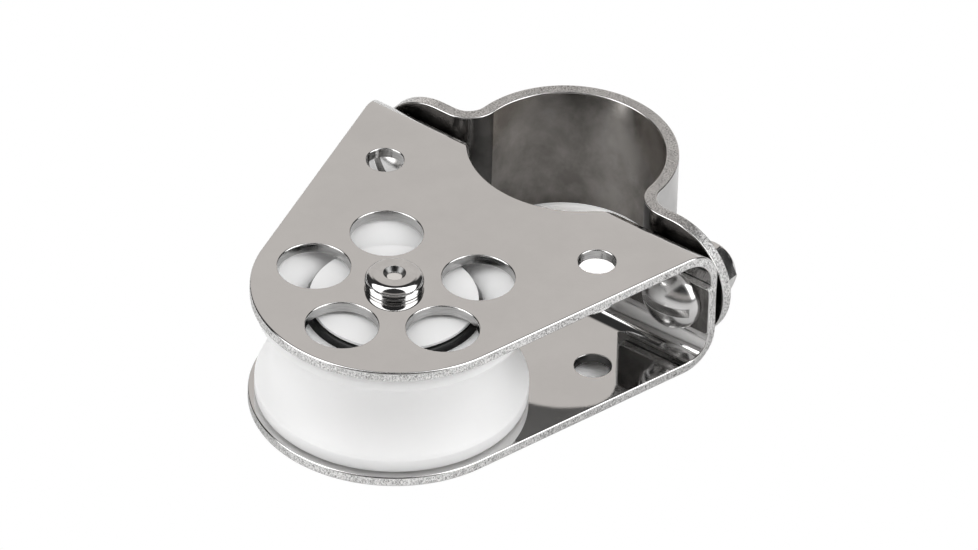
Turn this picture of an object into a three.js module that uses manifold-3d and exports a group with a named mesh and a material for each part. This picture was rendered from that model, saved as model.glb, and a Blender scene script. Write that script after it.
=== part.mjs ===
// Rail-mount roller: a folded sheet-metal frame carries a grooved sheave between two cheeks,
// and a bolted strap clamps the frame to a round rail.
// Millimetres. The rail's axis is Z and the origin is on it, halfway up the frame.
// The sheave lies towards -X, and its axis is parallel to Z.
import * as THREE from "three";
import { mergeVertices } from "three/addons/utils/BufferGeometryUtils.js";
import Module from "manifold-3d";

// Rail and frame
const RAIL_RADIUS = 12.5; // 25 mm (1 in) rail
const FRAME_HEIGHT = 18;
const SHEET = 1.4; // frame sheet thickness
const BEND_RADIUS = 4.8; // outside radius of the two folds
const SHEAVE_X = -36.5; // sheave axis, from the rail's axis
const NOSE_RADIUS = 18.2; // round end of a cheek, about the sheave axis
const FLARE = 0.252; // angle of a cheek's straight side to X, radians
const WEB_X = -4.1; // outer face of the web that joins the cheeks
const CUTOUT_RADIUS = 14.2; // clearance cut for the rail
const CUTOUT_X = 1.8; // its centre, so that the rail meets the cut's deepest point
const LIGHTENING_RADIUS = 4.62; // five round holes about the axle
const LIGHTENING_CIRCLE = 10.75;
const LIGHTENING_ANGLES = [42.7, -42.7, 107.9, -107.9, 180]; // degrees from +X
const LINE_HOLE_RADIUS = 2.4; // small hole at each rear corner of a cheek
const LINE_HOLE_X = -16.5;
const LINE_HOLE_Y = 16.9;

// Sheave and its bearing
const SHEAVE_RADIUS = 17.4;
const SHEAVE_HALF = 7.45; // half its width
const RIM_ROUND = 0.4; // its rounded outer corners
const GROOVE_HALF = 5.25; // half the rope groove's width
const GROOVE_EDGE = 17.1; // radius where the groove begins
const GROOVE_FLOOR = 14.6; // radius at its bottom
const DISH_RADIUS = 15.2; // each side is dished from here down to the bore
const DISH_FLOOR = 5.75; // height of the dish's inner edge above mid-width
const BORE_RADIUS = 11.3; // where the bearing race sits
const RACE_RADIUS = 10.95;
const RACE_HALF = 6.4;
const DISC_RADIUS = 10.7;
const DISC_THICKNESS = 0.45;
const SLEEVE_RADIUS = 4.1; // steel tube between the cheeks, round the pin
const SLEEVE_BORE = 3.3;
const PIN_RADIUS = 3;
const PIN_HEAD_RADIUS = 3.8;
const PIN_HEAD_HEIGHT = 1.85;
const DIMPLE_RADIUS = 1.48;
const DIMPLE_DEPTH = 0.62;

// Clamp
const STRAP = 1.65; // strap thickness
const STRAP_HEIGHT = 17.8;
const EAR_X = -3.5; // inner face of an ear, just behind the web
const EAR_END = 27.6; // from the mid-plane to the tip of an ear
const NECK_RADIUS = 3.5; // bend between band and ear, on the strap's mid-line
const SCREW_Y = 21.9;
const SCREW_RADIUS = 2.4;
const SCREW_HOLE = 2.75;
const SCREW_END = 3; // where the thread stops
const HEAD_RADIUS = 4.35;
const HEAD_HEIGHT = 3.1;
const SLOT_WIDTH = 1.2;
const SLOT_DEPTH = 1.5;
const SLOT_ANGLES = { left: 42, right: 0 }; // degrees from level
const PLATE = 1; // backing plate under each screw head
const PLATE_HEIGHT = 7.2;
const PLATE_NEAR = 13.6; // the plate's ends, from the mid-plane
const PLATE_FAR = 27.5;
const WASHER_RADIUS = 4.5;
const WASHER = 0.9;
const NUT_ACROSS_FLATS = 7.5; // a lock nut: a hexagon with a round collar that holds a nylon ring
const NUT_HEXAGON = 2.5; // height of the hexagon
const NUT_HEIGHT = 3.5;
const NUT_TURN = -10; // degrees about its axis from corners level
const COLLAR_RADIUS = 3.45;
const INSERT_RADIUS = 3;
const INSERT = 0.7;

const GAP = 0.3; // between pieces that move on each other
const SEAT = 0.06; // between pieces that are clamped together
const ROUND = 48; // segments of a full turn on large rounds
const SMALL_ROUND = 28;

const HALF_HEIGHT = FRAME_HEIGHT / 2;
const SIDES = { left: 1, right: -1 }; // left is +Y

const wasm = await Module();
wasm.setup();

const finish = {
  cheeks: { color: 0xb0aeab, roughness: 0.16, metalness: 1 },
  strap: { color: 0x9c9a96, roughness: 0.2, metalness: 1 },
  fittings: { color: 0xc4c3c0, roughness: 0.1, metalness: 1 },
  bearing: { color: 0xa8a8a6, roughness: 0.3, metalness: 1 },
  acetal: { color: 0xe9e9e6, roughness: 0.42, metalness: 0 },
  disc: { color: 0xf0f0ee, roughness: 0.38, metalness: 0 },
  race: { color: 0x101010, roughness: 0.45, metalness: 0 },
  nylon: { color: 0xdfe0dc, roughness: 0.5, metalness: 0 },
};

// ---- solids ----

function solid(geometry) {
  const plain = geometry.index ? geometry.toNonIndexed() : geometry.clone();
  plain.deleteAttribute("normal");
  plain.deleteAttribute("uv");
  const merged = mergeVertices(plain, 1e-4);
  return new wasm.Manifold(
    new wasm.Mesh({
      numProp: 3,
      vertProperties: merged.attributes.position.array,
      triVerts: new Uint32Array(merged.index.array),
    }),
  );
}

function geometryOf(manifold) {
  const mesh = manifold.getMesh();
  const geometry = new THREE.BufferGeometry();
  geometry.setAttribute("position", new THREE.BufferAttribute(mesh.vertProperties, 3));
  geometry.setIndex(new THREE.BufferAttribute(mesh.triVerts, 1));
  const flat = geometry.toNonIndexed();
  flat.computeVertexNormals();
  return flat;
}

// A cylinder along Z or X, centred on the given point.
function rod(radius, length, axis, x, y, z, segments = SMALL_ROUND) {
  const geometry = new THREE.CylinderGeometry(radius, radius, length, segments);
  if (axis === "z") geometry.rotateX(Math.PI / 2);
  if (axis === "x") geometry.rotateZ(-Math.PI / 2);
  geometry.translate(x, y, z);
  return solid(geometry);
}

// A profile of [radius, height] pairs turned about Z.
function turned(profile, segments = ROUND) {
  const points = profile.map(([radius, height]) => new THREE.Vector2(radius, height));
  const geometry = new THREE.LatheGeometry(points, segments);
  geometry.rotateX(Math.PI / 2);
  return geometry;
}

// A ring with a rectangular section about Z, from its lower to its upper face.
function ring(inner, outer, low, high, segments = ROUND) {
  return turned([[inner, low], [outer, low], [outer, high], [inner, high], [inner, low]], segments);
}

// A shape drawn in the XY plane, extruded along Z about the mid-plane.
function slab(shape, height, segments = 12) {
  const geometry = new THREE.ExtrudeGeometry(shape, {
    depth: height,
    bevelEnabled: false,
    curveSegments: segments,
  });
  geometry.translate(0, 0, -height / 2);
  return geometry;
}

// ---- frame ----

// One cheek seen from above: a round nose, straight sides that flare, and a straight back.
function cheekOutline() {
  const back = WEB_X - SHEAVE_X;
  const halfBack = (NOSE_RADIUS + back * Math.sin(FLARE)) / Math.cos(FLARE);
  const shape = new THREE.Shape();
  shape.moveTo(WEB_X, -halfBack);
  shape.lineTo(WEB_X, halfBack);
  shape.absarc(SHEAVE_X, 0, NOSE_RADIUS, Math.PI / 2 + FLARE, (3 * Math.PI) / 2 - FLARE, false);
  shape.closePath();
  return shape;
}

// The folded sheet seen from the side, with X to the right and Z up.
function foldedSection() {
  const front = SHEAVE_X - NOSE_RADIUS - 1;
  const centre = WEB_X - BEND_RADIUS;
  const lift = HALF_HEIGHT - BEND_RADIUS;
  const inside = BEND_RADIUS - SHEET;
  const quarter = Math.PI / 2;
  const shape = new THREE.Shape();
  shape.moveTo(front, HALF_HEIGHT);
  shape.lineTo(front, HALF_HEIGHT - SHEET);
  shape.absarc(centre, lift, inside, quarter, 0, true);
  shape.absarc(centre, -lift, inside, 0, -quarter, true);
  shape.lineTo(front, SHEET - HALF_HEIGHT);
  shape.lineTo(front, -HALF_HEIGHT);
  shape.absarc(centre, -lift, BEND_RADIUS, -quarter, 0, false);
  shape.absarc(centre, lift, BEND_RADIUS, 0, quarter, false);
  shape.closePath();
  return shape;
}

function frame() {
  const folded = slab(foldedSection(), 80, 8);
  folded.rotateX(Math.PI / 2);
  let body = solid(folded).intersect(solid(slab(cheekOutline(), 40, 30)));
  const through = FRAME_HEIGHT + 10;
  body = body.subtract(rod(CUTOUT_RADIUS, through, "z", CUTOUT_X, 0, 0, ROUND));
  for (const degrees of LIGHTENING_ANGLES) {
    const angle = THREE.MathUtils.degToRad(degrees);
    const x = SHEAVE_X + LIGHTENING_CIRCLE * Math.cos(angle);
    const y = LIGHTENING_CIRCLE * Math.sin(angle);
    body = body.subtract(rod(LIGHTENING_RADIUS, through, "z", x, y, 0));
  }
  body = body.subtract(rod(PIN_RADIUS + SEAT, through, "z", SHEAVE_X, 0, 0));
  for (const side of Object.values(SIDES)) {
    body = body.subtract(rod(LINE_HOLE_RADIUS, through, "z", LINE_HOLE_X, side * LINE_HOLE_Y, 0));
    body = body.subtract(rod(SCREW_HOLE, 12, "x", WEB_X, side * SCREW_Y, 0));
  }
  return geometryOf(body);
}

// ---- clamp ----

// The strap seen from above: a band round the rail that bends back into two straight ears.
function strapOutline() {
  const band = RAIL_RADIUS + STRAP / 2;
  const earLine = EAR_X + STRAP / 2;
  const neckX = earLine + NECK_RADIUS;
  const neckY = Math.sqrt((band + NECK_RADIUS) ** 2 - neckX ** 2);
  const meet = Math.atan2(neckY, neckX); // direction in which band and neck touch
  const shape = new THREE.Shape();
  const half = STRAP / 2;
  shape.moveTo(EAR_X, -EAR_END);
  shape.lineTo(EAR_X + STRAP, -EAR_END);
  shape.absarc(neckX, -neckY, NECK_RADIUS - half, Math.PI, Math.PI - meet, true);
  shape.absarc(0, 0, RAIL_RADIUS + STRAP, -meet, meet, false);
  shape.absarc(neckX, neckY, NECK_RADIUS - half, meet - Math.PI, -Math.PI, true);
  shape.lineTo(EAR_X + STRAP, EAR_END);
  shape.lineTo(EAR_X, EAR_END);
  shape.absarc(neckX, neckY, NECK_RADIUS + half, -Math.PI, meet - Math.PI, false);
  shape.absarc(0, 0, RAIL_RADIUS, meet, -meet, true);
  shape.absarc(neckX, -neckY, NECK_RADIUS + half, Math.PI - meet, Math.PI, false);
  shape.closePath();
  return shape;
}

// Seen along X, the strap is a bar with fully rounded ends.
function roundedEnds() {
  const radius = STRAP_HEIGHT / 2;
  const straight = EAR_END - radius;
  const shape = new THREE.Shape();
  shape.moveTo(-straight, -radius);
  shape.lineTo(straight, -radius);
  shape.absarc(straight, 0, radius, -Math.PI / 2, Math.PI / 2, false);
  shape.lineTo(-straight, radius);
  shape.absarc(-straight, 0, radius, Math.PI / 2, (3 * Math.PI) / 2, false);
  shape.closePath();
  return shape;
}

function strap() {
  const ends = slab(roundedEnds(), 60, 12);
  ends.rotateX(Math.PI / 2);
  ends.rotateZ(Math.PI / 2);
  let body = solid(slab(strapOutline(), STRAP_HEIGHT, 18)).intersect(solid(ends));
  for (const side of Object.values(SIDES)) {
    body = body.subtract(rod(SCREW_HOLE, 12, "x", EAR_X, side * SCREW_Y, 0));
  }
  return geometryOf(body);
}

function backingPlate(side) {
  const x = WEB_X - SHEET - SEAT - PLATE / 2;
  const y = (side * (PLATE_NEAR + PLATE_FAR)) / 2;
  const box = new THREE.BoxGeometry(PLATE, PLATE_FAR - PLATE_NEAR, PLATE_HEIGHT);
  box.translate(x, y, 0);
  const bored = solid(box).subtract(rod(SCREW_HOLE, 12, "x", x, side * SCREW_Y, 0));
  return geometryOf(bored);
}

// A slotted round-head screw along +X, its head towards the sheave.
function screw(name, side) {
  const seat = WEB_X - SHEET - PLATE - 3 * SEAT;
  const profile = [[0, 0]];
  for (let step = 1; step <= 6; step++) {
    const angle = (step / 6) * (Math.PI / 2) * 0.92;
    profile.push([HEAD_RADIUS * Math.sin(angle), HEAD_HEIGHT * (1 - Math.cos(angle))]);
  }
  profile.push([HEAD_RADIUS, HEAD_HEIGHT]);
  profile.push([SCREW_RADIUS, HEAD_HEIGHT]);
  const length = HEAD_HEIGHT + SCREW_END - seat;
  profile.push([SCREW_RADIUS, length - 0.5]);
  profile.push([SCREW_RADIUS - 0.5, length]);
  profile.push([0, length]);
  const blank = turned(profile, SMALL_ROUND);
  const slot = new THREE.BoxGeometry(SLOT_WIDTH, 4 * HEAD_RADIUS, 2 * SLOT_DEPTH);
  slot.rotateZ(THREE.MathUtils.degToRad(SLOT_ANGLES[name]));
  const body = geometryOf(solid(blank).subtract(solid(slot)));
  body.rotateY(Math.PI / 2);
  body.translate(seat - HEAD_HEIGHT, side * SCREW_Y, 0);
  return body;
}

function alongX(geometry, start, side) {
  geometry.rotateY(Math.PI / 2);
  geometry.translate(start, side * SCREW_Y, 0);
  return geometry;
}

function nut() {
  const corner = NUT_ACROSS_FLATS / Math.sqrt(3);
  const prism = new THREE.CylinderGeometry(corner, corner, NUT_HEIGHT, 6);
  prism.rotateX(Math.PI / 2);
  prism.translate(0, 0, NUT_HEIGHT / 2);
  prism.rotateZ(THREE.MathUtils.degToRad(NUT_TURN));
  const chamfer = 0.5;
  const envelope = turned([
    [0, 0],
    [corner - chamfer, 0],
    [corner, chamfer],
    [corner, NUT_HEXAGON - chamfer],
    [COLLAR_RADIUS, NUT_HEXAGON],
    [COLLAR_RADIUS, NUT_HEIGHT - chamfer],
    [COLLAR_RADIUS - chamfer, NUT_HEIGHT],
    [0, NUT_HEIGHT],
  ], SMALL_ROUND);
  const bore = rod(SCREW_RADIUS + 2 * SEAT, 12, "z", 0, 0, 0);
  const pocket = rod(INSERT_RADIUS + SEAT, 2 * (INSERT + 2 * SEAT), "z", 0, 0, NUT_HEIGHT);
  return geometryOf(solid(prism).intersect(solid(envelope)).subtract(bore).subtract(pocket));
}

// ---- sheave, bearing and axle ----

function sheave() {
  const depth = GROOVE_EDGE - GROOVE_FLOOR;
  const arc = (GROOVE_HALF ** 2 + depth ** 2) / (2 * depth);
  const reach = Math.asin(GROOVE_HALF / arc);
  const half = [];
  const steps = 10;
  for (let step = steps / 2; step <= steps; step++) {
    const angle = reach * ((2 * step) / steps - 1);
    half.push([GROOVE_FLOOR + arc * (1 - Math.cos(angle)), arc * Math.sin(angle)]);
  }
  for (let step = 0; step <= 4; step++) {
    const angle = (step / 4) * (Math.PI / 2);
    half.push([
      SHEAVE_RADIUS - RIM_ROUND * (1 - Math.cos(angle)),
      SHEAVE_HALF - RIM_ROUND * (1 - Math.sin(angle)),
    ]);
  }
  half.push([DISH_RADIUS, SHEAVE_HALF]);
  half.push([BORE_RADIUS, DISH_FLOOR]);
  const mirrored = half.slice(1).reverse().map(([radius, height]) => [radius, -height]);
  const profile = [...mirrored, ...half, mirrored[0]];
  return turned(profile);
}

function axlePin() {
  const face = HALF_HEIGHT + SEAT;
  const top = face + PIN_HEAD_HEIGHT;
  const upper = [
    [PIN_RADIUS, face],
    [PIN_HEAD_RADIUS, face],
    [PIN_HEAD_RADIUS, top - 1],
    [PIN_HEAD_RADIUS - 0.3, top - 0.4],
    [PIN_HEAD_RADIUS - 0.9, top],
    [DIMPLE_RADIUS, top],
    [DIMPLE_RADIUS * 0.6, top - DIMPLE_DEPTH],
    [0, top - DIMPLE_DEPTH],
  ];
  const lower = upper.map(([radius, height]) => [radius, -height]).reverse();
  return turned([...lower, ...upper], SMALL_ROUND);
}

// ---- assembly ----

const roller = new THREE.Group();
roller.name = "rail_roller";

function add(parent, name, geometry, look) {
  const mesh = new THREE.Mesh(geometry, new THREE.MeshStandardMaterial(look));
  mesh.name = name;
  parent.add(mesh);
}

add(roller, "frame", frame(), finish.cheeks);

const wheel = new THREE.Group();
wheel.position.x = SHEAVE_X;
roller.add(wheel);
add(wheel, "sheave", sheave(), finish.acetal);
add(wheel, "bearing_race", ring(SLEEVE_RADIUS + GAP, RACE_RADIUS, -RACE_HALF, RACE_HALF), finish.race);

const axle = new THREE.Group();
axle.position.x = SHEAVE_X;
roller.add(axle);
const discLow = RACE_HALF + GAP;
const discHigh = discLow + DISC_THICKNESS;
const discBore = SLEEVE_RADIUS + SEAT;
const tubeHalf = HALF_HEIGHT - SHEET - SEAT;
add(axle, "hub_disc_top", ring(discBore, DISC_RADIUS, discLow, discHigh), finish.disc);
add(axle, "hub_disc_bottom", ring(discBore, DISC_RADIUS, -discHigh, -discLow), finish.disc);
add(axle, "bearing_sleeve", ring(SLEEVE_BORE, SLEEVE_RADIUS, -tubeHalf, tubeHalf, SMALL_ROUND), finish.bearing);
add(axle, "axle_pin", axlePin(), finish.fittings);

add(roller, "clamp_strap", strap(), finish.strap);
for (const [name, side] of Object.entries(SIDES)) {
  const washerStart = EAR_X + STRAP + SEAT;
  const nutStart = washerStart + WASHER + SEAT;
  const insertStart = nutStart + NUT_HEIGHT - INSERT - SEAT;
  const washer = ring(SCREW_RADIUS + GAP, WASHER_RADIUS, 0, WASHER, SMALL_ROUND);
  const insert = ring(SCREW_RADIUS + 2 * SEAT, INSERT_RADIUS, 0, INSERT, SMALL_ROUND);
  add(roller, "backing_plate_" + name, backingPlate(side), finish.cheeks);
  add(roller, "clamp_screw_" + name, screw(name, side), finish.fittings);
  add(roller, "washer_" + name, alongX(washer, washerStart, side), finish.fittings);
  add(roller, "clamp_nut_" + name, alongX(nut(), nutStart, side), finish.fittings);
  add(roller, "nylon_insert_" + name, alongX(insert, insertStart, side), finish.nylon);
}

export default roller;
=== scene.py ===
"""Looks of the rail-mount roller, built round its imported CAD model.

Lengths are millimetres in the CAD's frame, and become metres when a mesh is made. The axle stands
along +Z, the sheave is on the -X side, +X faces the rail, and +Y is left.
"""

import math

import bpy
import numpy as np
from mathutils import Matrix, Vector
from mathutils.geometry import delaunay_2d_cdt


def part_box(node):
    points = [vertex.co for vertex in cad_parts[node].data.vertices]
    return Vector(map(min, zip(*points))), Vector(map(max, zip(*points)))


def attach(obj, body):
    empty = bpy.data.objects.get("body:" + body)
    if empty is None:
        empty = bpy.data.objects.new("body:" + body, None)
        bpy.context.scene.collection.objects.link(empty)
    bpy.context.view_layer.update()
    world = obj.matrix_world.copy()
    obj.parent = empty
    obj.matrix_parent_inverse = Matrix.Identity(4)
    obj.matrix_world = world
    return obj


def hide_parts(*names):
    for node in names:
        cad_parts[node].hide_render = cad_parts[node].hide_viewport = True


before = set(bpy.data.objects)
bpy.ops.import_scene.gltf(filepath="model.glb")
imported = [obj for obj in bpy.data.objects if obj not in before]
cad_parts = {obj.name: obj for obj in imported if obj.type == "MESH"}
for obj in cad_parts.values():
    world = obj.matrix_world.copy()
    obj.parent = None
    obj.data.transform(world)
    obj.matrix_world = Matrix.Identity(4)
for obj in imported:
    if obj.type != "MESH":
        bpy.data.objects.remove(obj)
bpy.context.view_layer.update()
MM = 0.001


def box_mm(node):
    """A node's lowest and highest corners at rest, in millimetres."""
    low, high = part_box(node)
    return Vector(low) / MM, Vector(high) / MM


# ---- sizes, from the CAD ----

SIDES = {"left": 1, "right": -1}  # the sign of Y on each side

# The frame: one sheet folded into a U, with the web at the back and a cheek above and below.
FRAME_LOW, FRAME_HIGH = box_mm("frame")
STRAP_LOW, STRAP_HIGH = box_mm("clamp_strap")
SHEAVE_LOW, SHEAVE_HIGH = box_mm("sheave")
HALF_HEIGHT = FRAME_HIGH.z  # outer face of the upper cheek
WEB_X = FRAME_HIGH.x  # outer face of the web
SHEAVE_X = (SHEAVE_LOW.x + SHEAVE_HIGH.x) / 2
NOSE_RADIUS = SHEAVE_X - FRAME_LOW.x
SHEET = 1.4  # thickness
BEND_RADIUS = 4.8  # outside
FLARE = 0.252  # angle of each long edge to X, in radians
CUTOUT_RADIUS = 14.2
CUTOUT_X = 1.8
LIGHTENING_RADIUS = 4.62
LIGHTENING_CIRCLE = 10.75  # radius of the circle round the pin that the holes' centres lie on
LIGHTENING_ANGLES = (42.7, -42.7, 107.9, -107.9, 180)  # degrees from +X
LINE_HOLE_RADIUS = 2.4
LINE_HOLE_X = -16.5
LINE_HOLE_Y = 16.9

# The strap: an ear at each side, a neck beside each ear, and a band round the rail.
STRAP = 1.65  # thickness
STRAP_HALF = STRAP_HIGH.z
RAIL_RADIUS = STRAP_HIGH.x - STRAP
EAR_X = STRAP_LOW.x
EAR_END = STRAP_HIGH.y
NECK_RADIUS = 3.5  # on the mid-plane
SCREW_Y = 21.9
SCREW_HOLE = 2.75  # radius


# ---- mesh building ----

def rounded(corners, steps=4, closed=True):
    """A path of (x, y, radius) corners as (x, y, normal_x, normal_y) points, corners rounded off.

    The path keeps the material on its left, and the normals point away from the material.
    """
    path = []
    count = len(corners)
    for i, (x, y, radius) in enumerate(corners):
        here = np.array((x, y))
        if not closed and i in (0, count - 1):
            other = np.array(corners[1 if i == 0 else i - 1][:2])
            way = other - here if i == 0 else here - other
            way = way / np.linalg.norm(way)
            path.append((x, y, way[1], -way[0]))
            continue
        before = here - np.array(corners[i - 1][:2])
        after = np.array(corners[(i + 1) % count][:2]) - here
        before = before / np.linalg.norm(before)
        after = after / np.linalg.norm(after)
        turn = math.atan2(before[0] * after[1] - before[1] * after[0], before @ after)
        normal = np.array((before[1], -before[0]))
        if radius <= 0 or abs(turn) < 1e-4:
            middle = turned_by(normal, turn / 2)
            path.append((x, y, middle[0], middle[1]))
            continue
        start = here - before * radius * math.tan(abs(turn) / 2)
        side = 1 if turn > 0 else -1
        centre = start - normal * radius * side
        for step in range(steps + 1):
            n = turned_by(normal, turn * step / steps)
            p = centre + n * radius * side
            path.append((p[0], p[1], n[0], n[1]))
    return path


def turned_by(vector, angle):
    """A flat vector turned counter-clockwise."""
    c, s = math.cos(angle), math.sin(angle)
    return np.array((c * vector[0] - s * vector[1], s * vector[0] + c * vector[1]))


def circle(x, y, radius, segments=72):
    """A round hole's edge, clockwise, as (x, y, normal_x, normal_y, cut) points."""
    points = []
    for i in range(segments):
        a = -2 * math.pi * i / segments
        c, s = math.cos(a), math.sin(a)
        points.append((x + radius * c, y + radius * s, -c, -s, None))
    return points


class Shell:
    """The faces of one piece. Equal corners are welded, and each corner keeps its own normal."""

    def __init__(self):
        self.index = {}
        self.points = []
        self.faces = []
        self.normals = []  # one for each corner of each face
        self.looks = []  # each face's material, by its place in the piece's list

    def weld(self, point):
        """The number of a point, shared with any earlier point at the same place."""
        key = (round(point[0], 4), round(point[1], 4), round(point[2], 4))
        if key not in self.index:
            self.index[key] = len(self.points)
            self.points.append(point)
        return self.index[key]

    def face(self, corners, look=0):
        """Adds a face of (point, normal) corners, turned so that it faces along its normals."""
        ids, points, normals = [], [], []
        for point, normal in corners:
            i = self.weld(point)
            if i not in ids:
                ids.append(i)
                points.append(point)
                normals.append(normal)
        if len(ids) < 3:
            return
        nx = ny = nz = 0.0  # the face's own normal, twice its area long
        for i, (bx, by, bz) in enumerate(points):
            ax, ay, az = points[i - 1]
            nx += (ay - by) * (az + bz)
            ny += (az - bz) * (ax + bx)
            nz += (ax - bx) * (ay + by)
        if nx * nx + ny * ny + nz * nz < 1e-16:
            return
        facing = sum(n[0] * nx + n[1] * ny + n[2] * nz for n in normals)
        if facing < 0:
            ids.reverse()
            normals.reverse()
        self.faces.append(ids)
        self.normals.extend(normals)
        self.looks.append(look)

    def strip(self, a, b, look=0, closed=True):
        """Joins two rows of (point, normal) corners with quads."""
        for i in range(len(a) if closed else len(a) - 1):
            j = (i + 1) % len(a)
            self.face((a[i], a[j], b[j], b[i]), look)

    def piece(self, name, body, materials):
        """Makes the Blender object, which stands for the CAD node of the same name."""
        mesh = bpy.data.meshes.new(name + "_shape")
        mesh.from_pydata([(x * MM, y * MM, z * MM) for x, y, z in self.points], [], self.faces)
        for material in materials:
            mesh.materials.append(material)
        mesh.polygons.foreach_set("material_index", self.looks)
        mesh.polygons.foreach_set("use_smooth", [True] * len(self.faces))
        mesh.normals_split_custom_set(self.normals)
        made = bpy.data.objects.new(name + "_look", mesh)
        bpy.context.scene.collection.objects.link(made)
        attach(made, body)
        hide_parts(name)
        return made


def upright(x):
    """A placing that stands the local Z axis up at x: one function for points, one for normals."""
    return (lambda px, py, pz: (x + px, py, pz)), (lambda nx, ny, nz: (nx, ny, nz))


def along_x(x, y):
    """A placing that lays the local Z axis along X, from the point x, y."""
    return (lambda px, py, pz: (x + pz, y + px, py)), (lambda nx, ny, nz: (nz, nx, ny))


def lathe(shell, profile, placing, segments=128, look=0, closed=True):
    """Turns a profile of (radius, height, normal_r, normal_h) about the local Z axis.

    look is one number, or a list with one for each stretch of the profile.
    """
    place, turn = placing
    rays = [(math.cos(2 * math.pi * i / segments), math.sin(2 * math.pi * i / segments))
            for i in range(segments)]
    rows = []
    for radius, height, nr, nh in profile:
        rows.append([(place(radius * c, radius * s, height), turn(nr * c, nr * s, nh))
                     for c, s in rays])
    for i in range(len(rows) if closed else len(rows) - 1):
        shell.strip(rows[i], rows[(i + 1) % len(rows)], look if isinstance(look, int) else look[i])


def inside(points, loops):
    """Which points lie inside an odd number of loops."""
    px, py = points[:, 0], points[:, 1]
    odd = np.zeros(len(points), dtype=bool)
    for loop in loops:
        corners = np.array([p[:2] for p in loop])
        ends = np.roll(corners, -1, axis=0)
        for (ax, ay), (bx, by) in zip(corners, ends):
            if ay == by:
                continue
            crosses = (ay > py) != (by > py)
            odd ^= crosses & (px < (bx - ax) * (py - ay) / (by - ay) + ax)
    return odd


def sheet(shell, loops, thickness, fold, steps=5, inner_look=0):
    """A sheet drawn flat and then folded. Its outer face takes look 0 and its rounded rims look 1.

    loops: closed outlines as (points, rims, look), where rims holds the radii the outer and inner
    rims are rounded to and look is that of the cut wall between them. The points are (x, y,
    normal_x, normal_y, cut); points with the same cut name lie on one fold line, which the faces
    are divided along. fold(x, y, t) gives a point t above the mid-plane and the three axes there.
    """
    half = thickness / 2

    def corner(x, y, t, nx, ny, nt):
        point, (ex, ey, et) = fold(x, y, t)
        normal = tuple(nx * ex[i] + ny * ey[i] + nt * et[i] for i in range(3))
        return point, normal

    flat, under, links, cuts, loops_flat = [], [], [], {}, []
    for loop, (outer, inner), look in loops:
        first = len(flat)
        loops_flat.append([(x - nx * outer, y - ny * outer) for x, y, nx, ny, _ in loop])
        flat += loops_flat[-1]
        under += [(x - nx * inner, y - ny * inner) for x, y, nx, ny, _ in loop]
        for i, (_, _, _, _, cut) in enumerate(loop):
            links.append((first + i, first + (i + 1) % len(loop)))
            if cut is not None:
                cuts.setdefault(cut, []).append(first + i)
        rings = []
        for edge, up in ((outer, 1), (inner, -1)):
            turns = [math.pi / 2 * k / steps for k in range(steps + 1)]
            rim = [(edge * (1 - math.sin(a)), up * (half - edge * (1 - math.cos(a))),
                    math.sin(a), up * math.cos(a)) for a in turns]
            rings += rim if up > 0 else rim[::-1]
        rows = [[corner(x - nx * inset, y - ny * inset, t, nx * side, ny * side, up)
                 for x, y, nx, ny, _ in loop] for inset, t, side, up in rings]
        for k, (a, b) in enumerate(zip(rows, rows[1:])):
            shell.strip(a, b, look if k == steps else 1)
    for on_line in cuts.values():
        on_line.sort(key=lambda i: flat[i])
        links += list(zip(on_line[0::2], on_line[1::2]))
    points, _, triangles, source, _, _ = delaunay_2d_cdt(
        [Vector(p) for p in flat], links, [], 0, 1e-7)
    own = [s[0] for s in source]
    centres = np.array([np.mean([points[i] for i in t], axis=0) for t in triangles])
    for triangle, keep in zip(triangles, inside(centres, loops_flat)):
        if not keep:
            continue
        shell.face([corner(*flat[own[i]], half, 0, 0, 1) for i in triangle], 0)
        shell.face([corner(*under[own[i]], -half, 0, 0, -1) for i in triangle], inner_look)


# ---- frame ----

BEND_X = WEB_X - BEND_RADIUS  # the folds' centre lines
LIFT = HALF_HEIGHT - BEND_RADIUS
MID_BEND = BEND_RADIUS - SHEET / 2
QUARTER = MID_BEND * math.pi / 2  # length of one fold on the mid-plane


def unfolded(x):
    """Where a cheek's point lies along the unfolded sheet; the middle of the web is at 0."""
    return LIFT + QUARTER + BEND_X - x


def fold_frame(y, u, t):
    """Folds the flat sheet into its U; u runs up the web and then forward along the cheek."""
    sign = 1 if u >= 0 else -1
    run = abs(u)
    if run <= LIFT:
        return (BEND_X + MID_BEND + t, y, u), ((0, 1, 0), (0, 0, 1), (1, 0, 0))
    if run < LIFT + QUARTER:
        a = (run - LIFT) / MID_BEND
        c, s = math.cos(a), math.sin(a)
        point = (BEND_X + (MID_BEND + t) * c, y, sign * (LIFT + (MID_BEND + t) * s))
        return point, ((0, 1, 0), (-s * sign, 0, c), (c, 0, s * sign))
    point = (BEND_X - (run - LIFT - QUARTER), y, sign * (HALF_HEIGHT - SHEET / 2 + t))
    return point, ((0, 1, 0), (-sign, 0, 0), (0, 0, sign))


def half_width(x):
    """How far a cheek's long edge is from the middle at x."""
    return (NOSE_RADIUS + (x - SHEAVE_X) * math.sin(FLARE)) / math.cos(FLARE)


FOLD_STEPS = 20
# Radii of the polished rims, on a sheet's outer and inner faces.
SHEAR_RIMS = (0.23, 0.2)  # along the frame's edges
HOLE_RIMS = (0.17, 0.1)
BOLT_RIMS = (0.1, 0.1)  # round the holes that a pin or a screw fills


def fold_angles():
    """The turns at which a fold is divided."""
    return [math.pi / 2 * k / FOLD_STEPS for k in range(FOLD_STEPS + 1)]


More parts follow.
